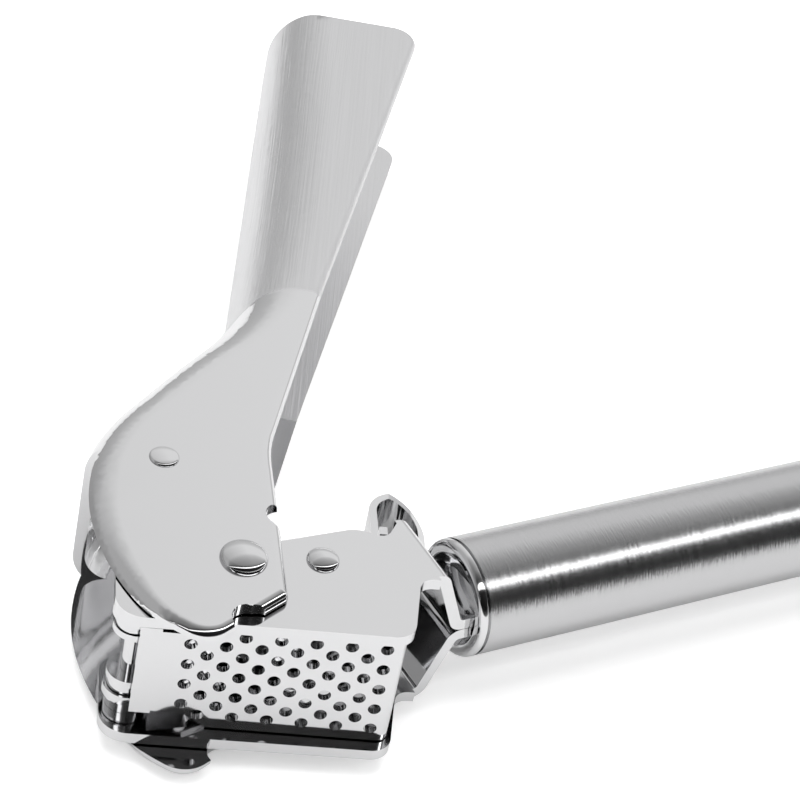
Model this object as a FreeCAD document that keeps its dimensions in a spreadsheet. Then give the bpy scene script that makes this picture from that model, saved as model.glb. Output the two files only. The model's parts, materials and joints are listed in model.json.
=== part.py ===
import FreeCAD, Part
import math
import os

import Sketcher
from FreeCAD import Placement, Rotation, Vector

# Garlic press lying on its side.  +Z is the direction of every hinge axis, +X runs along the
# tubular handle towards its hanging loop and +Y points to the side on which the lever opens.
# The lever is part open.  Lengths are millimetres.

doc = FreeCAD.newDocument("garlic_press")
sheet = doc.addObject("Spreadsheet::Sheet", "sizes")

DIMENSIONS = {
    # place of the main pivot in the row frame, and the angles of the plan axes
    "pivot_x": -92.7,
    "pivot_y": -67.0,
    "pivot_z": 17.4,
    "sieve_turn": -24.7,
    "lever_turn": 59.1,
    # sheet metal
    "sheet_thick": 2.0,
    "frame_inner": 11.2,
    "lever_inner": 13.5,
    "nose_bend": 1.7,
    "front_bend": 4.0,
    "spine_bend": 6.0,
    "grip_bend": 12.0,
    # lever
    "grip_end": 177.2,
    "grip_back": 7.87,
    "web_end": 24.0,
    "notch_radius": 2.9,
    "stop_circle": 13.7,
    "closed_notch_angle": -23.6,
    "open_notch_angle": -170.9,
    # hinge hardware
    "pivot_radius": 2.5,
    "pivot_head_radius": 3.9,
    "pivot_head_rise": 1.9,
    "running_gap": 0.05,
    "washer_radius": 5.0,
    "washer_thick": 0.2,
    "stud_angle": 16.75,
    "stud_radius": 1.8,
    "stud_head_radius": 2.7,
    "stud_rise": 1.4,
    "axle_x": 22.3,
    "axle_y": 14.9,
    "axle_radius": 1.6,
    "axle_head_radius": 2.5,
    "axle_head_rise": 0.7,
    "sleeve_radius": 2.6,
    # hinge rod of the sieve and the pressing plate
    "rod_x": -15.6,
    "rod_y": -5.5,
    "rod_radius": 1.5,
    "eye_radius": 4.0,
    # crank and pressing plate
    "crank_arm_inner": 9.4,
    "crank_arm_thick": 1.5,
    "crank_throw": 8.0,
    "crank_angle": -77.4,
    "crank_pin_radius": 1.6,
    "crank_boss_radius": 4.5,
    "press_lift": 13.02,
    "press_bottom": -3.3,
    "press_thick": 1.5,
    "press_half_width": 8.9,
    "press_start": 6.2,
    "press_end": 39.2,
    "slot_x": 21.39,
    "slot_y": 0.9,
    "slot_angle": 3.7,
    "slot_half_travel": 3.45,
    "slot_half_height": 2.15,
    # sieve
    "sieve_bottom": -10.8,
    "sieve_thick": 1.3,
    "sieve_half_width": 10.9,
    "tongue_half_width": 8.3,
    "hole_radius": 1.05,
    "hole_pitch_x": 2.79,
    "hole_pitch_z": 4.2,
    "first_hole_x": -7.27,
    "tab_half_width": 7.0,
    # tubular handle
    "tube_axis_y": -3.77,
    "tube_radius": 10.0,
    "tube_wall": 1.0,
    "tube_start": 40.7,
    "tube_end": 186.0,
    "arm_half_width": 7.3,
    "arm_bend_x": 31.9,
    "arm_end_x": 52.0,
    "arm_gap": 0.05,
    "arm_slope": 68.0,
    "loop_centre_x": 198.5,
    "loop_radius": 9.0,
    "loop_bore_radius": 6.0,
    "loop_thick": 4.0,
    "loop_stem_radius": 2.5,
}
for row, (alias, value) in enumerate(DIMENSIONS.items(), start=1):
    sheet.set(f"A{row}", alias)
    sheet.set(f"B{row}", str(value))
    sheet.setAlias(f"B{row}", alias)
doc.recompute()


def size(alias):
    """Value of one cell of the sheet."""
    return float(sheet.get(alias))


FRAME_INNER = size("frame_inner")
FRAME_OUTER = FRAME_INNER + size("sheet_thick")
LEVER_INNER = size("lever_inner")
LEVER_OUTER = LEVER_INNER + size("sheet_thick")
NODES = []


def bind(thing, **expressions):
    """Tie properties of a document object to cells; __ in a name stands for a dot."""
    for prop, expression in expressions.items():
        thing.setExpression(prop.replace("__", "."), expression)


def seat(thing, turn=None, base=("0", "0", "0")):
    """Place a piece relative to the main pivot, turned about +Z by the angle in a cell."""
    thing.Placement = Placement(Vector(), Rotation(Vector(0, 0, 1), 0))
    if turn:
        thing.Placement = Placement(Vector(), Rotation(Vector(0, 0, 1), 1))
        bind(thing, Placement__Rotation__Angle=turn)
    bind(
        thing,
        Placement__Base__x=f"sizes.pivot_x + {base[0]}",
        Placement__Base__y=f"sizes.pivot_y + {base[1]}",
        Placement__Base__z=f"sizes.pivot_z + {base[2]}",
    )


def node(thing, name):
    """Register a finished piece under the name of its file."""
    thing.Label = name
    NODES.append(thing)
    return thing


def mirrored_node(source, name):
    """The twin of a piece on the other side of the middle plane."""
    twin = doc.addObject("Part::Mirroring", name)
    twin.Source = source
    twin.Normal = Vector(0, 0, 1)
    twin.Base = Vector(0, 0, size("pivot_z"))
    return node(twin, name)


def unit(start, end):
    step = (end[0] - start[0], end[1] - start[1])
    length = math.hypot(*step)
    return step[0] / length, step[1] / length


def rounded_outline(corners):
    """Lines and arcs of a closed outline whose corners are (x, y, radius)."""
    pieces = []
    joints = []
    count = len(corners)
    for index, (x, y, radius) in enumerate(corners):
        back = unit((x, y), corners[index - 1])
        ahead = unit((x, y), corners[(index + 1) % count])
        cosine = max(-1.0, min(1.0, back[0] * ahead[0] + back[1] * ahead[1]))
        half = math.acos(cosine) / 2
        if radius <= 0:
            joints.append((Vector(x, y), None, Vector(x, y)))
            continue
        reach = radius / math.tan(half)
        first = Vector(x + back[0] * reach, y + back[1] * reach)
        last = Vector(x + ahead[0] * reach, y + ahead[1] * reach)
        bisector = unit((0, 0), (back[0] + ahead[0], back[1] + ahead[1]))
        depth = radius / math.sin(half) - radius
        middle = Vector(x + bisector[0] * depth, y + bisector[1] * depth)
        joints.append((first, middle, last))
    for index, (first, middle, last) in enumerate(joints):
        if middle is not None:
            pieces.append(Part.Arc(first, middle, last))
        following = joints[(index + 1) % count][0]
        if last.distanceToPoint(following) > 1e-6:
            pieces.append(Part.LineSegment(last, following))
    return pieces


def turned(points, degrees):
    """Outline corners turned about the pivot."""
    c, s = math.cos(math.radians(degrees)), math.sin(math.radians(degrees))
    return [(x * c - y * s, x * s + y * c, radius) for x, y, radius in points]


def polar(radius, degrees):
    return radius * math.cos(math.radians(degrees)), radius * math.sin(math.radians(degrees))


def new_body(name):
    return doc.addObject("PartDesign::Body", name)


def new_sketch(body, name, geometry, role="XY_Plane", offset=None):
    """A sketch on one of the body's own planes, lifted by an expression."""
    sketch = body.newObject("Sketcher::SketchObject", name)
    plane = next(item for item in body.Origin.OriginFeatures if item.Role == role)
    sketch.AttachmentSupport = [(plane, "")]
    sketch.MapMode = "FlatFace"
    sketch.addGeometry(geometry, False)
    if offset:
        sketch.setExpression("AttachmentOffset.Base.z", offset)
    return sketch


def circle_sketch(body, name, centre, radius, offset=None):
    """A circle whose radius follows an expression."""
    circle = Part.Circle(Vector(*centre), Vector(0, 0, 1), 1.0)
    sketch = new_sketch(body, name, [circle], offset=offset)
    constraint = sketch.addConstraint(Sketcher.Constraint("Radius", 0, 1.0))
    sketch.setExpression(f"Constraints[{constraint}]", radius)
    return sketch


def pad(body, name, sketch, length, midplane=False):
    feature = body.newObject("PartDesign::Pad", name)
    feature.Profile = sketch
    feature.Midplane = midplane
    bind(feature, Length=length)
    sketch.Visibility = False
    return feature


def pocket_through(body, name, sketch):
    feature = body.newObject("PartDesign::Pocket", name)
    feature.Profile = sketch
    feature.Type = 1
    feature.Midplane = True
    sketch.Visibility = False
    return feature


def revolve(body, name, geometry):
    """A full turn about Z of a profile drawn as (radius, height)."""
    sketch = new_sketch(body, name + "_profile", geometry, role="XZ_Plane")
    feature = body.newObject("PartDesign::Revolution", name)
    feature.Profile = sketch
    feature.ReferenceAxis = (sketch, ["V_Axis"])
    feature.Angle = 360.0
    sketch.Visibility = False
    return feature


def revolved_node(name, corners, base, along_handle=False):
    """A turned piece; along_handle lays its axis on the axis of the handle tube."""
    body = new_body(name)
    revolve(body, name + "_turning", rounded_outline(corners))
    seat(body, base=base)
    if along_handle:
        body.Placement = Placement(body.Placement.Base, Rotation(Vector(0, 1, 0), 90))
    return node(body, name)


# ---------------------------------------------------------------- frame side plates
# Each plate lies in the sieve's own plan axes: x along the sieve, y towards the lever.
# Its slanted end is square to the handle, and there the sheet turns in as a fork arm.
PLATE_OUTLINE = [
    (-19.8, 4.4, 4.0),
    (-3.0, 6.4, 14.0),
    (5.0, 7.3, 12.0),
    (19.0, 12.7, 5.0),
    (24.0, 11.0, 1.9),
    (25.91, 15.22, 0.0),
    (32.18, 1.59, 0.0),
    (28.9, 1.6, 2.6),
    (26.9, -13.0, 3.6),
    (-19.8, -13.4, 4.6),
]
ARM_OVERLAP = 2.2


def side_plate(name):
    body = new_body(name)
    outline = rounded_outline(turned(PLATE_OUTLINE, size("sieve_turn")))
    face = new_sketch(body, name + "_outline", outline, offset="sizes.frame_inner")
    pad(body, name + "_plate", face, "sizes.sheet_thick")
    slope = math.tan(math.radians(size("arm_slope")))
    thick = size("sheet_thick")
    shift = thick * math.tan(math.radians(size("arm_slope") / 2))
    low = size("arm_gap")
    top_x = size("arm_bend_x")
    foot_x = top_x + (FRAME_OUTER - low - thick) / slope
    arm = [
        (top_x - ARM_OVERLAP, FRAME_OUTER, 0),
        (top_x, FRAME_OUTER, 2.8),
        (foot_x, low + thick, 0.8),
        (size("arm_end_x"), low + thick, 0),
        (size("arm_end_x"), low, 0),
        (foot_x - shift, low, 2.8),
        (top_x - shift, FRAME_INNER, 0.8),
        (top_x - ARM_OVERLAP, FRAME_INNER, 0),
    ]
    strip = new_sketch(
        body, name + "_arm_bend", rounded_outline(arm), "XZ_Plane", "-sizes.tube_axis_y"
    )
    pad(body, name + "_arm", strip, "2 * sizes.arm_half_width", midplane=True)
    stud = polar(size("stop_circle"), size("stud_angle") + size("sieve_turn"))
    rod = turned([(size("rod_x"), size("rod_y"), 0)], size("sieve_turn"))[0][:2]
    for hole, centre, radius in (
        ("pivot_hole", (0, 0), "sizes.pivot_radius + sizes.running_gap"),
        ("stud_hole", stud, "sizes.stud_radius"),
        ("rod_hole", rod, "sizes.rod_radius"),
    ):
        sketch = circle_sketch(body, f"{name}_{hole}_circle", centre, radius)
        pocket_through(body, f"{name}_{hole}", sketch)
    seat(body)
    return node(body, name)


upper_plate = side_plate("side_plate_upper")
mirrored_node(upper_plate, "side_plate_lower")

# ---------------------------------------------------------------- tubular handle
# A plain tube, a turned collar that takes the fork arms, a cap and a hanging loop.
HANDLE_BASE = ("0", "sizes.tube_axis_y", "0")


def along_x(thing, start):
    """Lay a Part primitive's axis along the handle, from the given expression."""
    thing.Placement = Placement(Vector(), Rotation(Vector(0, 1, 0), 90))
    bind(
        thing,
        Placement__Base__x=f"sizes.pivot_x + {start}",
        Placement__Base__y="sizes.pivot_y + sizes.tube_axis_y",
        Placement__Base__z="sizes.pivot_z",
    )


tube_outside = doc.addObject("Part::Cylinder", "tube_outside")
bind(tube_outside, Radius="sizes.tube_radius", Height="sizes.tube_end - sizes.tube_start")
along_x(tube_outside, "sizes.tube_start")
tube_inside = doc.addObject("Part::Cylinder", "tube_inside")
bind(
    tube_inside,
    Radius="sizes.tube_radius - sizes.tube_wall",
    Height="sizes.tube_end - sizes.tube_start",
)
along_x(tube_inside, "sizes.tube_start")
tube = doc.addObject("Part::Cut", "handle_tube")
tube.Base = tube_outside
tube.Tool = tube_inside
node(tube, "handle_tube")

NOSE = size("tube_radius")
SPIGOT = size("tube_radius") - size("tube_wall") - 0.03
COLLAR_FRONT = 38.8
NOSE_END = 40.3
GROOVE = 0.5
collar = new_body("front_collar")
revolve(
    collar,
    "collar_turning",
    rounded_outline(
        [
            (0, 42.6, 0),
            (6.2, 42.2, 3.0),
            (7.9, COLLAR_FRONT, 0.5),
            (NOSE, COLLAR_FRONT, 1.2),
            (NOSE, NOSE_END, 0.25),
            (NOSE - GROOVE, NOSE_END, 0),
            (NOSE - GROOVE, size("tube_start") - 0.03, 0),
            (SPIGOT, size("tube_start") - 0.03, 0),
            (SPIGOT, 56.0, 0.5),
            (0, 56.0, 0),
        ]
    ),
)
SLOT_HALF_HEIGHT = size("arm_half_width") + 0.1
SLOT_HALF_GAP = size("sheet_thick") + 0.15
collar_slot = new_sketch(
    collar,
    "collar_slot_outline",
    rounded_outline(
        [
            (SLOT_HALF_GAP, SLOT_HALF_HEIGHT, 0),
            (-SLOT_HALF_GAP, SLOT_HALF_HEIGHT, 0),
            (-SLOT_HALF_GAP, -SLOT_HALF_HEIGHT, 0),
            (SLOT_HALF_GAP, -SLOT_HALF_HEIGHT, 0),
        ]
    ),
    offset="40",
)
pocket_through(collar, "collar_slot", collar_slot)
seat(collar, base=HANDLE_BASE)
collar.Placement = Placement(collar.Placement.Base, Rotation(Vector(0, 1, 0), 90))
node(collar, "front_collar")

TUBE_END = size("tube_end")
CAP_BORE = size("loop_stem_radius") + size("running_gap")
revolved_node(
    "end_cap",
    [
        (CAP_BORE, TUBE_END - 9.0, 0),
        (SPIGOT, TUBE_END - 9.0, 0.5),
        (SPIGOT, TUBE_END + 0.03, 0),
        (NOSE, TUBE_END + 0.03, 0),
        (NOSE, TUBE_END + 2.6, 2.2),
        (CAP_BORE, TUBE_END + 3.2, 0),
    ],
    HANDLE_BASE,
    along_handle=True,
)

LOOP_BASE = ("sizes.loop_centre_x", "sizes.tube_axis_y", "-sizes.loop_thick / 2")
loop_stem = doc.addObject("Part::Cylinder", "loop_stem")
bind(loop_stem, Radius="sizes.loop_stem_radius")
bind(loop_stem, Height="sizes.loop_centre_x - sizes.tube_end")
along_x(loop_stem, "sizes.tube_end - 7")
loop_disc = doc.addObject("Part::Cylinder", "loop_disc")
bind(loop_disc, Radius="sizes.loop_radius", Height="sizes.loop_thick")
seat(loop_disc, base=LOOP_BASE)
loop_rounded = doc.addObject("Part::Fillet", "loop_rounded")
loop_rounded.Base = loop_disc
loop_rounded.Edges = [(1, 1.2, 1.2), (3, 1.2, 1.2)]
loop_blank = doc.addObject("Part::Fuse", "loop_blank")
loop_blank.Base = loop_rounded
loop_blank.Tool = loop_stem
loop_bore = doc.addObject("Part::Cylinder", "loop_bore")
bind(loop_bore, Radius="sizes.loop_bore_radius", Height="sizes.loop_thick")
seat(loop_bore, base=LOOP_BASE)
loop = doc.addObject("Part::Cut", "hanging_loop")
loop.Base = loop_blank
loop.Tool = loop_bore
node(loop, "hanging_loop")

# ---------------------------------------------------------------- stop studs and pivots
STUD = polar(size("stop_circle"), size("stud_angle") + size("sieve_turn"))
RIM_SHARE = 0.68


def rivet_head(radius, foot, rise):
    """Two tangent arcs: a small one up from the rim and a flat cap centred on the axis."""
    small = RIM_SHARE * rise
    large = (radius**2 + rise**2 - 2 * radius * small) / (2 * (rise - small))
    tilt = math.atan2(large - rise, radius - small)
    low = foot + rise - large

    def on_rim(angle):
        return Vector(radius - small + small * math.cos(angle), foot + small * math.sin(angle))

    def on_cap(angle):
        return Vector(large * math.cos(angle), low + large * math.sin(angle))

    middle = (tilt + math.pi / 2) / 2
    return [
        Part.Arc(on_rim(0), on_rim(tilt / 2), on_rim(tilt)),
        Part.Arc(on_rim(tilt), on_cap(middle), Vector(0, foot + rise)),
    ]


def headed_pin(name, shank, start, head_radius, foot, rise, base):
    """A pin with a rounded head, turned about its own axis."""
    lines = [(0, foot + rise), (0, start), (shank, start), (shank, foot), (head_radius, foot)]
    geometry = [
        Part.LineSegment(Vector(*first), Vector(*last)) for first, last in zip(lines, lines[1:])
    ]
    geometry.extend(rivet_head(head_radius, foot, rise))
    body = new_body(name)
    revolve(body, name + "_turning", geometry)
    seat(body, base=base)
    return node(body, name)


stud_upper = headed_pin(
    "stop_stud_upper",
    size("stud_radius") - 0.02,
    FRAME_INNER,
    size("stud_head_radius"),
    FRAME_OUTER,
    size("stud_rise"),
    (str(STUD[0]), str(STUD[1]), "0"),
)
mirrored_node(stud_upper, "stop_stud_lower")
rivet_upper = headed_pin(
    "pivot_rivet_upper",
    size("pivot_radius"),
    size("crank_arm_inner"),
    size("pivot_head_radius"),
    LEVER_OUTER,
    size("pivot_head_rise"),
    ("0", "0", "0"),
)
mirrored_node(rivet_upper, "pivot_rivet_lower")


def ring_node(name, outer, inner, start, thick, place):
    """A flat ring about a vertical axis."""
    disc = doc.addObject("Part::Cylinder", name + "_disc")
    bore = doc.addObject("Part::Cylinder", name + "_bore")
    bind(disc, Radius=outer, Height=thick)
    bind(bore, Radius=inner, Height=thick)
    for cylinder in (disc, bore):
        seat(cylinder, base=(place[0], place[1], start))
    ring = doc.addObject("Part::Cut", name)
    ring.Base = disc
    ring.Tool = bore
    return node(ring, name)


washer_upper = ring_node(
    "pivot_washer_upper",
    "sizes.washer_radius",
    "sizes.pivot_radius + 0.02",
    "sizes.frame_inner + sizes.sheet_thick + sizes.running_gap",
    "sizes.washer_thick",
    ("0", "0"),
)
mirrored_node(washer_upper, "pivot_washer_lower")

# ---------------------------------------------------------------- sieve hinge rod
ROD = turned([(size("rod_x"), size("rod_y"), 0)], size("sieve_turn"))[0][:2]
ROD_PLACE = (str(ROD[0]), str(ROD[1]))
hinge_rod = doc.addObject("Part::Cylinder", "hinge_rod")
bind(
    hinge_rod,
    Radius="sizes.rod_radius - 0.02",
    Height="2 * (sizes.frame_inner + sizes.sheet_thick)",
)
seat(hinge_rod, base=(*ROD_PLACE, "-sizes.frame_inner - sizes.sheet_thick"))
node(hinge_rod, "hinge_rod")
spacer_upper = ring_node(
    "rod_spacer_upper",
    "sizes.eye_radius - 0.6",
    "sizes.rod_radius + 0.02",
    "9.1",
    "sizes.frame_inner - 9.15",
    ROD_PLACE,
)
mirrored_node(spacer_upper, "rod_spacer_lower")
collar_upper = ring_node(
    "rod_collar_upper",
    "sizes.eye_radius - 0.3",
    "sizes.rod_radius + 0.02",
    "4.3",
    "1.2",
    ROD_PLACE,
)
mirrored_node(collar_upper, "rod_collar_lower")

# ---------------------------------------------------------------- lever
# One bent sheet: two side plates, a spine that joins them above the pivot, and a grip whose
# back is rolled to a wide round.  Drawn with x along the back of the grip.
BACK = size("grip_back")
END = size("grip_end")
SPINE = [
    (-20.0, 3.45, 5.0),
    (-15.1, 12.9, 26.0),
    (-7.6, 19.5, 45.0),
    (6.8, 27.8, 42.0),
    (28.7, 27.8, 42.0),
    (67.9, BACK, 40.0),
    (END, BACK, 0.0),
]
OPEN_SIDE = [
    (END, -22.4, 5.0),
    (77.4, -7.8, 80.0),
    (31.0, -2.0, 32.0),
    (-6.3, -7.75, 1.2),
]


def inset(points, distance):
    """Corners of an open chain moved to its right by a distance, its bends kept parallel."""
    lines = []
    for first, last in zip(points, points[1:]):
        ux, uy = unit(first, last)
        lines.append((first[0] + uy * distance, first[1] - ux * distance, ux, uy))
    moved = []
    for (ax, ay, aux, auy), (bx, by, bux, buy), corner in zip(lines, lines[1:], points[1:]):
        cross = aux * buy - auy * bux
        along = ((bx - ax) * buy - (by - ay) * bux) / cross
        change = distance if cross < 0 else -distance
        radius = max(corner[2] - change, 0.5)
        moved.append((ax + aux * along, ay + auy * along, radius))
    first, last = lines[0], lines[-1]
    start = (first[0] - first[2] * 6, first[1] - first[3] * 6, 0)
    end = (points[-1][0] + 6, last[1], 0)
    return [start, *moved, end]


def prism(name, corners, half_height):
    """A straight solid on an outline, centred on the middle plane."""
    edges = [piece.toShape() for piece in rounded_outline(corners)]
    face = Part.Face(Part.Wire(Part.__sortEdges__(edges)))
    face.translate(Vector(0, 0, -half_height))
    solid = doc.addObject("Part::Feature", name)
    solid.Shape = face.extrude(Vector(0, 0, 2 * half_height))
    return solid


def rolled(name, base, half_height, inset_by):
    """Round the long edges on the spine side, widening from the yoke to the grip."""
    edges = []
    for index, edge in enumerate(base.Shape.Edges, start=1):
        middle = edge.valueAt((edge.FirstParameter + edge.LastParameter) / 2)
        on_face = abs(abs(middle.z) - half_height) < 0.01
        if not on_face or middle.y < SPINE_SIDE or middle.x > END - 1:
            continue
        ends = [edge.valueAt(edge.FirstParameter), edge.valueAt(edge.LastParameter)]
        radii = [max(bend_radius(point.x) - inset_by, 0.25) for point in ends]
        edges.append((index, *radii))
    fillet = doc.addObject("Part::Fillet", name)
    fillet.Base = base
    fillet.Edges = edges
    return fillet


# Outside bend radius at places along the lever: it opens from the nose to the grip.
BEND_PLACES = [
    (-17.0, size("nose_bend")),
    (-8.0, size("front_bend")),
    (6.0, size("spine_bend")),
    (55.0, size("spine_bend") + 1.5),
    (78.0, size("grip_bend")),
]


def bend_radius(x):
    """Outside bend radius of the sheet at a place along the lever."""
    for (x1, first), (x2, last) in zip(BEND_PLACES, BEND_PLACES[1:]):
        if x <= x2:
            share = max(0.0, (x - x1) / (x2 - x1))
            return first + share * (last - first)
    return size("grip_bend")


SPINE_SIDE = 4.2
doc.recompute()
lever_outside = prism("lever_outside", [*SPINE, *OPEN_SIDE], LEVER_OUTER)
lever_rolled = rolled("lever_rolled", lever_outside, LEVER_OUTER, 0.0)
BEYOND = [(END + 6, -60.0, 0), (-60.0, -60.0, 0)]
inner_corners = [*inset(SPINE, size("sheet_thick")), *BEYOND]
lever_inside = prism("lever_inside", inner_corners, LEVER_INNER)
lever_hollow = rolled("lever_hollow", lever_inside, LEVER_INNER, size("sheet_thick"))
mouth = doc.addObject("Part::Box", "lever_mouth")
mouth.Length = 100.0
mouth.Width = 100.0
bind(mouth, Height="2 * sizes.lever_inner")
bind(mouth, Placement__Base__x="sizes.web_end - 100", Placement__Base__z="-sizes.lever_inner")
mouth.Placement.Base.y = -50.0


def lever_cutter(name, radius, place):
    """A hole or half-round notch straight through both side plates."""
    cutter = doc.addObject("Part::Cylinder", name)
    cutter.Height = 60.0
    bind(cutter, Radius=radius)
    cutter.Placement.Base = Vector(place[0], place[1], -30.0)
    return cutter


AXLE = (size("axle_x"), size("axle_y"))
CLOSED_NOTCH = polar(size("stop_circle"), size("closed_notch_angle"))
OPEN_NOTCH = polar(size("stop_circle"), size("open_notch_angle"))
NOTCH_LEAD = polar(size("stop_circle"), size("open_notch_angle") + 7.0)
cutters = doc.addObject("Part::MultiFuse", "lever_cutters")
cutters.Shapes = [
    lever_hollow,
    mouth,
    lever_cutter("lever_pivot_hole", "sizes.pivot_radius + 0.02", (0, 0)),
    lever_cutter("lever_axle_hole", "sizes.axle_radius + 0.02", AXLE),
    lever_cutter("closed_notch", "sizes.notch_radius", CLOSED_NOTCH),
    lever_cutter("open_notch", "sizes.notch_radius", OPEN_NOTCH),
    lever_cutter("open_notch_lead", "sizes.notch_radius", NOTCH_LEAD),
]
lever = doc.addObject("Part::Cut", "lever")
lever.Base = lever_rolled
lever.Tool = cutters
seat(lever, "sizes.lever_turn")
node(lever, "lever")

# ---------------------------------------------------------------- cross axle of the lever
AXLE_PLAN = turned([(*AXLE, 0)], size("lever_turn"))[0][:2]
AXLE_PLACE = (str(AXLE_PLAN[0]), str(AXLE_PLAN[1]))
half_axle = headed_pin(
    "axle_half",
    size("axle_radius"),
    0.0,
    size("axle_head_radius"),
    LEVER_OUTER,
    size("axle_head_rise"),
    (*AXLE_PLACE, "0"),
)
NODES.remove(half_axle)
other_half = mirrored_node(half_axle, "axle_other_half")
NODES.remove(other_half)
cross_axle = doc.addObject("Part::Fuse", "cross_axle")
cross_axle.Base = half_axle
cross_axle.Tool = other_half
node(cross_axle, "cross_axle")
ring_node(
    "axle_sleeve",
    "sizes.sleeve_radius",
    "sizes.axle_radius + 0.02",
    "-sizes.lever_inner + 0.02",
    "2 * sizes.lever_inner - 0.04",
    AXLE_PLACE,
)

# ---------------------------------------------------------------- crank inside the frame
# The pivot rivets carry a short arm each; the pin between the arms works the pressing plate.
PIN = polar(size("crank_throw"), size("crank_angle"))


def crank_arm(name):
    """A pear-shaped plate from the pivot to the crank pin."""
    boss = size("crank_boss_radius")
    tip = size("crank_pin_radius") + 1.5
    plate_thick = Vector(0, 0, size("crank_arm_thick"))
    start = Vector(0, 0, size("crank_arm_inner"))
    tilt = math.asin((boss - tip) / size("crank_throw"))
    side = math.radians(size("crank_angle"))
    tangents = []
    for sign in (1, -1):
        angle = side + sign * (math.pi / 2 - tilt)
        normal = (math.cos(angle), math.sin(angle))
        tangents.append((normal[0] * boss, normal[1] * boss))
        tangents.append((PIN[0] + normal[0] * tip, PIN[1] + normal[1] * tip))
    order = (tangents[0], tangents[1], tangents[3], tangents[2], tangents[0])
    web = Part.Face(Part.makePolygon([Vector(x, y, start.z) for x, y in order]))
    shape = web.extrude(plate_thick)
    shape = shape.fuse(Part.makeCylinder(boss, plate_thick.z, start))
    shape = shape.fuse(Part.makeCylinder(tip, plate_thick.z, Vector(*PIN, start.z)))
    for radius, (x, y) in ((size("pivot_radius"), (0, 0)), (size("crank_pin_radius"), PIN)):
        shape = shape.cut(Part.makeCylinder(radius + 0.02, 30, Vector(x, y, 0)))
    arm = doc.addObject("Part::Feature", name)
    arm.Shape = shape.removeSplitter()
    seat(arm, "sizes.lever_turn")
    return node(arm, name)


arm_upper = crank_arm("crank_arm_upper")
mirrored_node(arm_upper, "crank_arm_lower")
PIN_PLAN = turned([(*PIN, 0)], size("lever_turn"))[0][:2]
crank_pin = doc.addObject("Part::Cylinder", "crank_pin")
bind(
    crank_pin,
    Radius="sizes.crank_pin_radius",
    Height="2 * (sizes.crank_arm_inner + sizes.crank_arm_thick)",
)
seat(
    crank_pin,
    base=(str(PIN_PLAN[0]), str(PIN_PLAN[1]), "-sizes.crank_arm_inner - sizes.crank_arm_thick"),
)
node(crank_pin, "crank_pin")

# ---------------------------------------------------------------- pressing plate
# Drawn shut, with its hinge rod at the origin and x along the sieve, then lifted to rest.
EAR_START = 5.7
EAR_THICK = 1.4
PLATE_TOP = size("press_bottom") + size("press_thick")
EAR_OUTLINE = [
    (-3.4, 3.2, 3.0),
    (8.0, 4.4, 6.0),
    (27.4, 6.0, 3.0),
    (32.0, PLATE_TOP, 1.0),
    (32.0, size("press_bottom"), 0),
    (4.0, size("press_bottom"), 1.5),
    (-3.4, -3.4, 3.2),
]
press = new_body("press_plate")
plate_outline = rounded_outline(
    [
        (size("press_start"), 5.6, 0),
        (9.6, 5.6, 0),
        (9.6, size("press_half_width"), 1.0),
        (size("press_end"), size("press_half_width"), 1.5),
        (size("press_end"), -size("press_half_width"), 1.5),
        (9.6, -size("press_half_width"), 1.0),
        (9.6, -5.6, 0),
        (size("press_start"), -5.6, 0),
    ]
)
plate_sketch = new_sketch(
    press, "press_outline", plate_outline, "XZ_Plane", "-sizes.press_bottom - sizes.press_thick"
)
pad(press, "press_pad", plate_sketch, "sizes.press_thick")
for side in (1, -1):
    ear_sketch = new_sketch(
        press,
        "ear_outline_upper" if side > 0 else "ear_outline_lower",
        rounded_outline(EAR_OUTLINE),
        offset=str(EAR_START if side > 0 else -EAR_START - EAR_THICK),
    )
    pad(press, "ear_upper" if side > 0 else "ear_lower", ear_sketch, str(EAR_THICK))
rod_sketch = circle_sketch(press, "press_rod_circle", (0, 0), "sizes.rod_radius + 0.05")
pocket_through(press, "press_rod_hole", rod_sketch)


def slot_outline(centre, angle, half_travel, half_height):
    """A straight slot with round ends."""
    c, s = math.cos(math.radians(angle)), math.sin(math.radians(angle))

    def place(u, v):
        return Vector(centre[0] + u * c - v * s, centre[1] + u * s + v * c)

    reach, high = half_travel, half_height
    return [
        Part.LineSegment(place(-reach, high), place(reach, high)),
        Part.Arc(place(reach, high), place(reach + high, 0), place(reach, -high)),
        Part.LineSegment(place(reach, -high), place(-reach, -high)),
        Part.Arc(place(-reach, -high), place(-reach - high, 0), place(-reach, high)),
    ]


slot_sketch = new_sketch(
    press,
    "press_slot_outline",
    slot_outline(
        (size("slot_x"), size("slot_y")),
        size("slot_angle"),
        size("slot_half_travel"),
        size("slot_half_height"),
    ),
)
pocket_through(press, "press_slot", slot_sketch)
seat(press, "sizes.sieve_turn + sizes.press_lift", (*ROD_PLACE, "0"))
node(press, "press_plate")

# ---------------------------------------------------------------- sieve
# A bent strip: hinge tongue, perforated bottom, end wall and curled finger tab.
BOTTOM = size("sieve_bottom")
TAB_LEFT = 22.9
TAB_TOP = 25.5
TAB_OUTER = 5.1
TIP_HALF_WIDTH = 2.2
TAB_FOOT = 16.9
TAB_DROP = 4.6
THICK = size("sieve_thick")
TONGUE_START = -15.3
WALL_FOOT = 27.0


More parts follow.
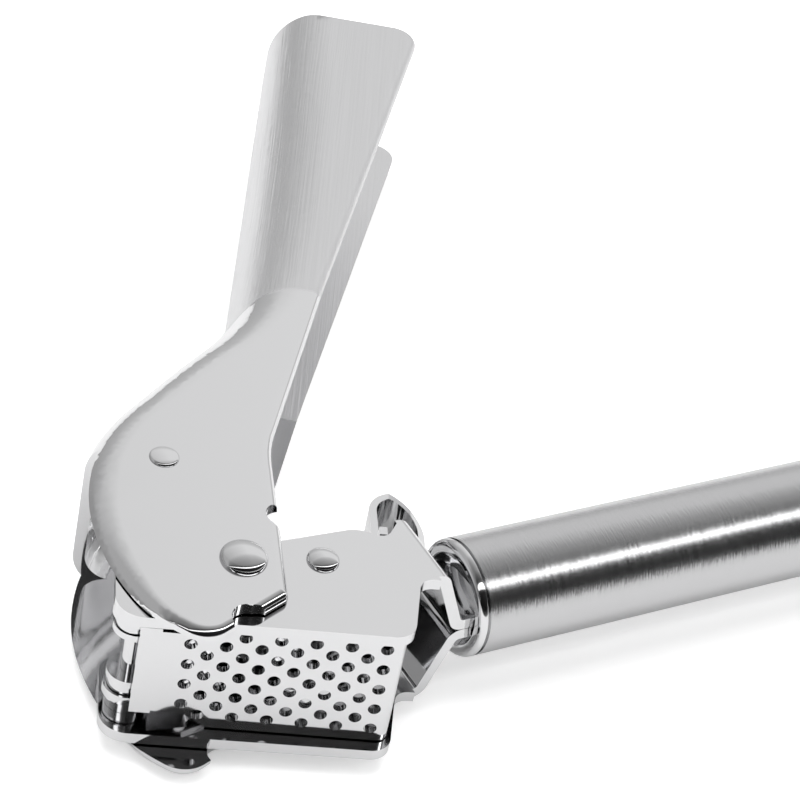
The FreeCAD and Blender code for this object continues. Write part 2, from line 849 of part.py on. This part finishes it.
def strip_solid(path, thick):
    """A sheet of constant thickness that follows corners (x, y, radius), 26 mm wide."""
    lines = []
    for first, last in zip(path, path[1:]):
        ux, uy = unit(first, last)
        lines.append((first[0] - uy * thick, first[1] + ux * thick, ux, uy))
    right = [(lines[0][0], lines[0][1], 0)]
    for (ax, ay, aux, auy), (bx, by, bux, buy), corner in zip(lines, lines[1:], path[1:]):
        cross = aux * buy - auy * bux
        along = ((bx - ax) * buy - (by - ay) * bux) / cross
        radius = corner[2] - thick if cross > 0 else corner[2] + thick
        right.append((ax + aux * along, ay + auy * along, max(radius, 0.3)))
    end, (ux, uy) = path[-1], lines[-1][2:]
    right.append((end[0] - uy * thick, end[1] + ux * thick, 0))
    edges = [piece.toShape() for piece in rounded_outline([*path, *reversed(right)])]
    face = Part.Face(Part.Wire(Part.__sortEdges__(edges)))
    face.translate(Vector(0, 0, -LUG_HALF_WIDTH))
    return face.extrude(Vector(0, 0, 2 * LUG_HALF_WIDTH))


LUG_HALF_WIDTH = FRAME_OUTER - 0.2
LUG_LOW, LUG_HIGH = 12.1, 14.0
WALL_HALF_WIDTH = 9.2
strip = strip_solid(
    [
        (TONGUE_START, BOTTOM, 0),
        (WALL_FOOT, BOTTOM, 2.0),
        (TAB_LEFT + THICK, 6.0, 10.0),
        (TAB_LEFT + THICK, TAB_FOOT + 0.1, 0),
    ],
    THICK,
)
tab_centre = Vector(TAB_LEFT + TAB_OUTER, TAB_TOP, 0)
rise = Part.makeBox(
    THICK, TAB_TOP - TAB_FOOT, 2 * LUG_HALF_WIDTH, Vector(TAB_LEFT, TAB_FOOT, -LUG_HALF_WIDTH)
)
curl_base = tab_centre - Vector(0, 0, LUG_HALF_WIDTH)
curl = Part.makeCylinder(TAB_OUTER, 2 * LUG_HALF_WIDTH, curl_base)
curl = curl.cut(Part.makeCylinder(TAB_OUTER - THICK, 2 * LUG_HALF_WIDTH, curl_base))
upper_half = Vector(TAB_LEFT - 2, TAB_TOP, -LUG_HALF_WIDTH)
curl = curl.common(Part.makeBox(20, 10, 2 * LUG_HALF_WIDTH, upper_half))
tip_corner = Vector(TAB_LEFT + 2 * TAB_OUTER - THICK, TAB_TOP - TAB_DROP, -LUG_HALF_WIDTH)
drop = Part.makeBox(THICK, TAB_DROP, 2 * LUG_HALF_WIDTH, tip_corner)
sieve_shape = strip.fuse([rise, curl, drop])
SIDE_TRIMS = [
    # start x, end x, start y, end y, half width that is left
    (-30.0, 40.0, -30.0, LUG_LOW, size("sieve_half_width")),
    (-30.0, 40.0, LUG_HIGH, 40.0, size("tab_half_width")),
    (-30.0, -6.3, -30.0, LUG_LOW, size("tongue_half_width")),
    (-30.0, 40.0, -8.4, LUG_LOW, WALL_HALF_WIDTH),
]
for x1, x2, y1, y2, half in SIDE_TRIMS:
    for start in (half, -half - 20.0):
        trim = Part.makeBox(x2 - x1, y2 - y1, 20.0, Vector(x1, y1, start))
        sieve_shape = sieve_shape.cut(trim)
for side in (1, -1):
    # the curled tip narrows to a rounded leaf
    taper = Part.Face(
        Part.makePolygon(
            [
                Vector(TAB_LEFT + TAB_OUTER - 1.5, TAB_TOP - 5, side * size("tab_half_width")),
                Vector(TAB_LEFT + TAB_OUTER + 2.5, TAB_TOP - 5, side * (TIP_HALF_WIDTH + 2.2)),
                Vector(TAB_LEFT + 2 * TAB_OUTER + 0.1, TAB_TOP - 5, side * TIP_HALF_WIDTH),
                Vector(TAB_LEFT + 2 * TAB_OUTER + 0.1, TAB_TOP - 5, side * LUG_HALF_WIDTH),
                Vector(TAB_LEFT + TAB_OUTER - 1.5, TAB_TOP - 5, side * LUG_HALF_WIDTH),
                Vector(TAB_LEFT + TAB_OUTER - 1.5, TAB_TOP - 5, side * size("tab_half_width")),
            ]
        )
    ).extrude(Vector(0, 12, 0))
    sieve_shape = sieve_shape.cut(taper)
    # low side walls of the tray and the sloping shoulders of its tongue
    outer, inner = size("sieve_half_width"), size("sieve_half_width") - 1.2
    wall = Part.makeBox(28.0, 2.4, 1.2, Vector(-3.0, BOTTOM, inner if side > 0 else -outer))
    shoulder = Part.Face(
        Part.makePolygon(
            [
                Vector(-7.0, BOTTOM - 1, side * size("tongue_half_width")),
                Vector(-2.9, BOTTOM - 1, side * outer),
                Vector(-2.9, BOTTOM - 1, side * (outer + 6)),
                Vector(-9.0, BOTTOM - 1, side * (outer + 6)),
                Vector(-7.0, BOTTOM - 1, side * size("tongue_half_width")),
            ]
        )
    ).extrude(Vector(0, 12, 0))
    sieve_shape = sieve_shape.fuse(wall).cut(shoulder)
    ear_low = 7.3 if side > 0 else -8.9
    ear = Part.makeCylinder(size("eye_radius"), 1.6, Vector(size("rod_x"), size("rod_y"), ear_low))
    foot_base = Vector(TONGUE_START, BOTTOM, ear_low)
    foot = Part.makeBox(3.4, size("rod_y") - BOTTOM, 1.6, foot_base)
    sieve_shape = sieve_shape.fuse([ear, foot])
rod_bore = Part.makeCylinder(
    size("rod_radius") + 0.05, 40, Vector(size("rod_x"), size("rod_y"), -20)
)
sieve_shape = sieve_shape.cut(rod_bore)
HOLE_COLUMNS = 12
drills = []
for column in range(HOLE_COLUMNS):
    count = 5 if column % 2 else 4
    x = size("first_hole_x") + column * size("hole_pitch_x")
    for index in range(count):
        z = (index - (count - 1) / 2) * size("hole_pitch_z")
        base = Vector(x, BOTTOM - 1, z)
        drills.append(Part.makeCylinder(size("hole_radius"), 3.0, base, Vector(0, 1, 0)))
sieve_shape = sieve_shape.cut(drills).removeSplitter()
sieve = doc.addObject("Part::Feature", "sieve")
sieve.Shape = sieve_shape
seat(sieve, "sizes.sieve_turn")
node(sieve, "sieve")

# ---------------------------------------------------------------- check and export
doc.recompute()
for thing in doc.Objects:
    failed = {"Invalid", "Error"} & set(thing.State)
    if failed:
        raise RuntimeError(f"{thing.Name} is {thing.State}")
names = set()
for thing in NODES:
    shape = thing.Shape
    if shape.isNull() or not shape.isValid() or not shape.Solids:
        raise RuntimeError(f"{thing.Label} has no valid shape")
    names.add(thing.Label)
if len(names) != len(NODES):
    raise RuntimeError("two pieces share a name")
os.makedirs("parts", exist_ok=True)
box = FreeCAD.BoundBox()
for thing in NODES:
    thing.Shape.exportStep(f"parts/{thing.Label}.step")
    box.add(thing.Shape.BoundBox)
print(len(NODES), "pieces,", box)
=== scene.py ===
import json
import math

import bpy
from mathutils import Matrix, Vector

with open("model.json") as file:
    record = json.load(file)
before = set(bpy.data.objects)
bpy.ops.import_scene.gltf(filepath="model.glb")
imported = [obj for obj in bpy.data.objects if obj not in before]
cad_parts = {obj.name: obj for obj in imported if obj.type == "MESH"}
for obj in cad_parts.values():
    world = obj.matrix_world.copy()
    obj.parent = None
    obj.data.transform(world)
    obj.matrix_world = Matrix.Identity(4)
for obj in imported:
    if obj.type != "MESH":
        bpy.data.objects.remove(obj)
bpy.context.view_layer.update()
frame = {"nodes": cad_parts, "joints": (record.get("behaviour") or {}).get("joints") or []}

MM = 0.001
nodes = frame["nodes"]
pivot = Vector(next(j["pos_m"] for j in frame["joints"] if j["name"] == "lever_hinge"))


# ---------------------------------------------------------------- camera
# A long lens about half a metre away looks down at the press along its open jaws.
# The eye's place is counted from the main pivot. It turns about the upright, tips up from
# straight down, and rolls about its own sight line.
EYE = Vector((-195.35, -301.82, 312.07)) * MM
HEADING, TILT, ROLL = (math.radians(angle) for angle in (-35.895, 54.063, 12.157))
LENS_MM = 133.45
FILM_WIDTH_MM = 36.0
NEAREST_SEEN = 10 * MM

camera_data = bpy.data.cameras.new("camera")
camera_data.lens = LENS_MM
camera_data.sensor_width = FILM_WIDTH_MM
camera_data.clip_start = NEAREST_SEEN
camera = bpy.data.objects.new("camera", camera_data)
bpy.context.scene.collection.objects.link(camera)
camera.matrix_world = (
    Matrix.Translation(pivot + EYE)
    @ Matrix.Rotation(HEADING, 4, "Z")
    @ Matrix.Rotation(TILT, 4, "X")
    @ Matrix.Rotation(ROLL, 4, "Z")
)
bpy.context.scene.camera = camera
bpy.context.scene.view_settings.view_transform = "Standard"


# ---------------------------------------------------------------- floor
# A matt white paper sheet, far larger than the press, which rests on it. Mirrored in the
# steel it shows a little greyer than it does to the eye: painted shade, a darker copy of the
# paper that only the steel's reflections see.
FLOOR_SIDE = 8.0
PAPER_FIBRE = 2.5 * MM


def srgb(code):
    """Linear colour of an sRGB hex value."""
    parts = [int(code[i : i + 2], 16) / 255 for i in (1, 3, 5)]
    linear = [p / 12.92 if p <= 0.04045 else ((p + 0.055) / 1.055) ** 2.4 for p in parts]
    return (*linear, 1.0)


def add(tree, kind, inputs=(), **settings):
    """Add one shader node with its settings, and values or links for its sockets."""
    made = tree.nodes.new(kind)
    for name, value in settings.items():
        setattr(made, name, value)
    for name, value in dict(inputs).items():
        if isinstance(value, bpy.types.NodeSocket):
            tree.links.new(value, made.inputs[name])
        else:
            made.inputs[name].default_value = value
    return made


def new_material(name):
    """An empty material and its node tree."""
    material = bpy.data.materials.new(name)
    material.use_nodes = True
    material.node_tree.nodes.clear()
    return material, material.node_tree


bpy.ops.object.select_all(action="DESELECT")
bpy.ops.mesh.primitive_plane_add(size=FLOOR_SIDE, location=(0, 0, 0))
studio_floor = bpy.context.object
studio_floor.name = "studio_floor"
studio_paper, tree = new_material("white_studio_paper")
fibre = add(tree, "ShaderNodeTexNoise", {"Scale": 1 / PAPER_FIBRE, "Detail": 3.0})
fibre_bump = add(tree, "ShaderNodeBump", {"Height": fibre.outputs["Fac"], "Strength": 0.02})
paper = add(
    tree,
    "ShaderNodeBsdfPrincipled",
    {
        "Base Color": srgb("#FAFAFA"),
        "Roughness": 0.9,
        "Normal": fibre_bump.outputs["Normal"],
        "Emission Color": srgb("#FFFFFF"),
        "Emission Strength": 0.35,
    },
)
# Painted shade: the greyer paper that the steel mirrors in place of the white sheet.
shaded_paper = add(
    tree,
    "ShaderNodeBsdfDiffuse",
    {"Color": srgb("#F2F2F2"), "Roughness": 0.5},
)
seen_in_steel = add(tree, "ShaderNodeLightPath")
sheet = add(tree, "ShaderNodeMixShader", {"Fac": seen_in_steel.outputs["Is Glossy Ray"]})
tree.links.new(paper.outputs["BSDF"], sheet.inputs[1])
tree.links.new(shaded_paper.outputs["BSDF"], sheet.inputs[2])
add(tree, "ShaderNodeOutputMaterial", {"Surface": sheet.outputs["Shader"]})
studio_floor.data.materials.append(studio_paper)

# ---------------------------------------------------------------- studio light
# A white sweep behind the press, a grey ceiling, and a dark room in front of it that is cut
# by one long strip light. The dark room draws the black bands on the round steel.
# Each row is an angle in degrees, over the top from the wall behind to the room in front,
# and the brightness there, of which the strip light is the greatest.
TENT_STRENGTH = 3.6
LEFT_WALL_SHARE = 0.55
TENT = [
    (0, 0.60),
    (16, 0.70),
    (28, 0.93),
    (60, 0.93),
    (70, 0.67),
    (83, 0.49),
    (94, 0.40),
    (103, 0.22),
    (111, 0.13),
    (117, 0.13),
    (119, TENT_STRENGTH),
    (128, TENT_STRENGTH),
    (130, 0.20),
    (137, 0.03),
    (168, 0.01),
    (175, 0.10),
    (180, 0.30),
]
world = bpy.data.worlds.new("studio_tent")
bpy.context.scene.world = world
world.use_nodes = True
tree = world.node_tree
tree.nodes.clear()
place = add(tree, "ShaderNodeTexCoord")
split = add(tree, "ShaderNodeSeparateXYZ", {"Vector": place.outputs["Generated"]})
over = add(
    tree,
    "ShaderNodeMath",
    {0: split.outputs["Z"], 1: split.outputs["Y"]},
    operation="ARCTAN2",
)
share = add(tree, "ShaderNodeMath", {0: over.outputs[0], 1: math.pi}, operation="DIVIDE")
ramp = add(tree, "ShaderNodeValToRGB", {"Fac": share.outputs[0]})
stops = ramp.color_ramp.elements
for angle, _ in TENT[1:-1]:
    stops.new(angle / 180)
for stop, (_, bright) in zip(stops, TENT):
    stop.color = (*[bright / TENT_STRENGTH] * 3, 1.0)
seen = add(tree, "ShaderNodeLightPath")
left_wall = add(
    tree,
    "ShaderNodeMapRange",
    {
        "Value": split.outputs["X"],
        "From Min": -0.4,
        "From Max": 0.45,
        "To Min": LEFT_WALL_SHARE * TENT_STRENGTH,
        "To Max": TENT_STRENGTH,
    },
)
inside = add(
    tree,
    "ShaderNodeBackground",
    {"Color": ramp.outputs["Color"], "Strength": left_wall.outputs["Result"]},
)
backdrop = add(tree, "ShaderNodeBackground", {"Color": srgb("#FFFFFF"), "Strength": 1.0})
mixed = add(tree, "ShaderNodeMixShader", {"Fac": seen.outputs["Is Camera Ray"]})
tree.links.new(inside.outputs["Background"], mixed.inputs[1])
tree.links.new(backdrop.outputs["Background"], mixed.inputs[2])
add(tree, "ShaderNodeOutputWorld", {"Surface": mixed.outputs["Shader"]})


def softbox(name, place, width, height, watts):
    """A soft lamp aimed at the press, which lights the sheet but isn't mirrored."""
    lamp = bpy.data.lights.new(name, "AREA")
    lamp.shape = "RECTANGLE"
    lamp.size, lamp.size_y = width, height
    lamp.energy = watts
    holder = bpy.data.objects.new(name, lamp)
    bpy.context.scene.collection.objects.link(holder)
    aim = (-Vector(place)).to_track_quat("-Z", "Y")
    holder.matrix_world = Matrix.Translation(place) @ aim.to_matrix().to_4x4()
    holder.visible_glossy = False


softbox("softbox_overhead", (-0.1, 0.0, 1.3), width=1.0, height=1.0, watts=13.0)
softbox("softbox_front", (-0.1, -1.2, 0.55), width=1.2, height=0.25, watts=3.5)
softbox("softbox_left", (-1.2, 0.1, 0.5), width=0.3, height=1.0, watts=3.0)


# ---------------------------------------------------------------- polished steel pieces
# Side plates, sieve, pressing plate, rivets, pins and rings are stainless steel, blanked or
# turned and then mirror polished. They mirror the room almost sharply, with faint waves and
# smears left by the polishing wheel.
WHEEL_WAVE = 16.667 * MM
WHEEL_SMEAR = 4.5455 * MM


def steel(tree, roughness, normal, colour="#DADADB"):
    """Bare stainless steel of a given roughness and surface relief."""
    return add(
        tree,
        "ShaderNodeBsdfPrincipled",
        {
            "Base Color": srgb(colour),
            "Metallic": 1.0,
            "Roughness": roughness,
            "Normal": normal,
        },
    )


def object_place(tree, turn=0.0):
    """Object coordinates counted from the main pivot and turned about the hinge axis."""
    where = add(tree, "ShaderNodeTexCoord")
    return add(
        tree,
        "ShaderNodeMapping",
        {
            "Vector": where.outputs["Object"],
            "Location": pivot,
            "Rotation": (0.0, 0.0, math.radians(turn)),
        },
        vector_type="TEXTURE",
    )


mirror_steel, tree = new_material("mirror_polished_stainless")
frame_place = object_place(tree)
waves = add(
    tree,
    "ShaderNodeTexNoise",
    {"Vector": frame_place.outputs[0], "Scale": 1 / WHEEL_WAVE},
)
smears = add(
    tree,
    "ShaderNodeTexNoise",
    {"Vector": frame_place.outputs[0], "Scale": 1 / WHEEL_SMEAR, "Detail": 4.0},
)
haze = add(
    tree,
    "ShaderNodeMapRange",
    {"Value": smears.outputs["Fac"], "To Min": 0.05, "To Max": 0.11},
)
wave_bump = add(
    tree,
    "ShaderNodeBump",
    {"Height": waves.outputs["Fac"], "Strength": 0.03, "Distance": 2 * MM},
)
polished = steel(tree, haze.outputs["Result"], wave_bump.outputs["Normal"])
add(tree, "ShaderNodeOutputMaterial", {"Surface": polished.outputs["BSDF"]})
for piece in nodes.values():
    piece.data.materials.clear()
    piece.data.materials.append(mirror_steel)

# ---------------------------------------------------------------- lever
# One pressed sheet of stainless steel: the yoke is mirror polished and the grip is brushed
# along its length on a belt, which leaves it paler and duller. The brushing ends at a
# curve across the shoulder that falls back from the grip towards the spine. The real
# strokes are finer, and are drawn as coarse as they need to show.
LEVER_TURN = 59.1
BRUSHING_START = 75.6 * MM
BRUSHING_FADE = 1.4 * MM
SHOULDER_EDGE = 6.6 * MM
SHOULDER_WIDTH = 15.5 * MM
SHOULDER_SWEEP = 13.3 * MM
SHOULDER_LIMIT = 1.05
SHOULDER_CURVE = 4.0
STROKE_LENGTH = 33.333 * MM
STROKE_WIDTH = 0.3846 * MM
POLISHED_ROUGHNESS = 0.07

lever_steel, tree = new_material("polished_yoke_brushed_grip_stainless")
lever_place = object_place(tree, LEVER_TURN)
along = add(tree, "ShaderNodeSeparateXYZ", {"Vector": lever_place.outputs[0]})


def math_node(tree, operation, first, second):
    """The value of a sum worked out by a shader node."""
    made = add(tree, "ShaderNodeMath", {0: first, 1: second}, operation=operation)
    return made.outputs["Value"]


sweep = along.outputs["Y"]
for operation, amount in (
    ("ADD", SHOULDER_EDGE),
    ("MULTIPLY", 1 / SHOULDER_WIDTH),
    ("MAXIMUM", 0.0),
    ("MINIMUM", SHOULDER_LIMIT),
    ("POWER", SHOULDER_CURVE),
    ("MULTIPLY", SHOULDER_SWEEP),
):
    sweep = math_node(tree, operation, sweep, amount)
beyond = math_node(tree, "ADD", along.outputs["X"], sweep)
brushed = add(
    tree,
    "ShaderNodeMapRange",
    {
        "Value": beyond,
        "From Min": BRUSHING_START,
        "From Max": BRUSHING_START + BRUSHING_FADE,
    },
    interpolation_type="SMOOTHSTEP",
).outputs["Result"]
stretch = add(
    tree,
    "ShaderNodeMapping",
    {
        "Vector": lever_place.outputs[0],
        "Scale": (1 / STROKE_LENGTH, 1 / STROKE_WIDTH, 1 / STROKE_WIDTH),
    },
)
strokes = add(tree, "ShaderNodeTexNoise", {"Vector": stretch.outputs[0], "Scale": 1.0})
stroke_height = math_node(tree, "MULTIPLY", strokes.outputs["Fac"], brushed)
stroke_bump = add(
    tree,
    "ShaderNodeBump",
    {"Height": stroke_height, "Strength": 0.22, "Distance": 0.4 * MM},
)
stroke_haze = add(
    tree,
    "ShaderNodeMapRange",
    {"Value": strokes.outputs["Fac"], "To Min": 0.28, "To Max": 0.42},
)
satin = math_node(tree, "MULTIPLY", stroke_haze.outputs["Result"], brushed)
satin = math_node(tree, "MAXIMUM", satin, POLISHED_ROUGHNESS)
grip = steel(tree, satin, stroke_bump.outputs["Normal"])
add(tree, "ShaderNodeOutputMaterial", {"Surface": grip.outputs["BSDF"]})
nodes["lever"].data.materials[0] = lever_steel

# ---------------------------------------------------------------- handle tube
# Drawn stainless tube, brushed round its girth on a belt and left satin, so its highlights
# are soft and grainy at their edges. The real grain is finer, and is drawn as coarse as it
# needs to show.
TUBE_GRAIN_WIDTH = 0.3125 * MM
TUBE_GRAIN_LENGTH = 2.381 * MM

tube_steel, tree = new_material("satin_brushed_stainless_tube")
tube_place = object_place(tree)
tube_stretch = add(
    tree,
    "ShaderNodeMapping",
    {
        "Vector": tube_place.outputs[0],
        "Scale": (1 / TUBE_GRAIN_WIDTH, 1 / TUBE_GRAIN_LENGTH, 1 / TUBE_GRAIN_LENGTH),
    },
)
tube_strokes = add(
    tree,
    "ShaderNodeTexNoise",
    {"Vector": tube_stretch.outputs[0], "Scale": 1.0},
)
tube_bump = add(
    tree,
    "ShaderNodeBump",
    {"Height": tube_strokes.outputs["Fac"], "Strength": 0.35, "Distance": 0.2 * MM},
)
tube_haze = add(
    tree,
    "ShaderNodeMapRange",
    {"Value": tube_strokes.outputs["Fac"], "To Min": 0.17, "To Max": 0.30},
)
tube_metal = steel(tree, tube_haze.outputs["Result"], tube_bump.outputs["Normal"], "#C3C3C4")
add(tree, "ShaderNodeOutputMaterial", {"Surface": tube_metal.outputs["BSDF"]})
nodes["handle_tube"].data.materials[0] = tube_steel

# ---------------------------------------------------------------- pivot washers
# Two thin rings of milky plastic between the side plates and the yoke, stamped from sheet.
# They are dull and faintly mottled.
MOTTLE = 2 * MM

washer_plastic, tree = new_material("milky_bearing_plastic")
washer_place = object_place(tree)
mottle = add(
    tree,
    "ShaderNodeTexNoise",
    {"Vector": washer_place.outputs[0], "Scale": 1 / MOTTLE},
)
washer_haze = add(
    tree,
    "ShaderNodeMapRange",
    {"Value": mottle.outputs["Fac"], "To Min": 0.40, "To Max": 0.55},
)
plastic = add(
    tree,
    "ShaderNodeBsdfPrincipled",
    {"Base Color": srgb("#E0E0DE"), "Roughness": washer_haze.outputs["Result"]},
)
add(tree, "ShaderNodeOutputMaterial", {"Surface": plastic.outputs["BSDF"]})
for side in ("upper", "lower"):
    nodes[f"pivot_washer_{side}"].data.materials[0] = washer_plastic

# ---------------------------------------------------------------- smooth bends, sharp edges
# Every piece is pressed, drawn or turned: its bends and round faces run smoothly, and its
# cut edges stay crisp. Flat faces keep their own light right up to a bend.
SAME_POINT = 0.002 * MM
SHARPEST_BEND = math.radians(28)
FLAT_FACE_WEIGHT = 100
for piece in nodes.values():
    weld = piece.modifiers.new("weld", "WELD")
    weld.merge_threshold = SAME_POINT
    crease = piece.modifiers.new("crease", "EDGE_SPLIT")
    crease.split_angle = SHARPEST_BEND
    even = piece.modifiers.new("even_normals", "WEIGHTED_NORMAL")
    even.weight = FLAT_FACE_WEIGHT
